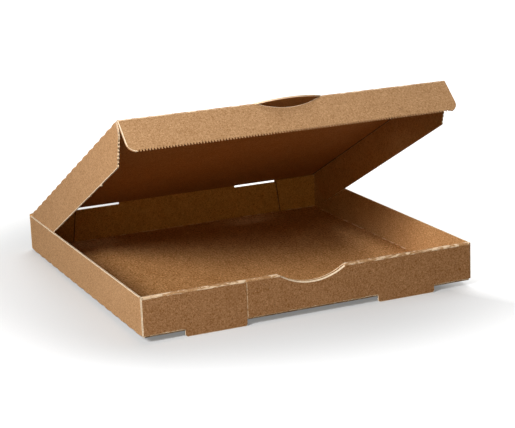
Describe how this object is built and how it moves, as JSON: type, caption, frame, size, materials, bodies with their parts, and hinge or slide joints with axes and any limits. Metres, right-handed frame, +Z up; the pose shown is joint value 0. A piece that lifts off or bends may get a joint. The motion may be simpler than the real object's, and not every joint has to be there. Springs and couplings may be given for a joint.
{
  "type": "pizza box",
  "caption": "Plain corrugated pizza box standing open: a tray with a rolled front wall, finger notch and feet, and a hinged lid with a half-moon thumb tab and tuck flaps.",
  "frame": {"origin": "middle of the box at the level of the feet", "axes": "+X to the right seen from the front, +Y from the front wall to the hinge, +Z up"},
  "size_m": [0.38, 0.38, 0.224],
  "materials": {
    "tray_board": "uncoated brown kraft, matt",
    "lid_board": "uncoated brown kraft, matt"
  },
  "bodies": {
    "tray": {"tray": "tray_board"},
    "lid": {"lid": "lid_board"}
  },
  "joints": [
    {"name": "lid_hinge", "type": "hinge", "parent": "tray", "child": "lid", "pos_m": [0, 0.1892, 0.0495], "axis": [-1, 0, 0], "range_deg": [-24, 156.5]}
  ]
}
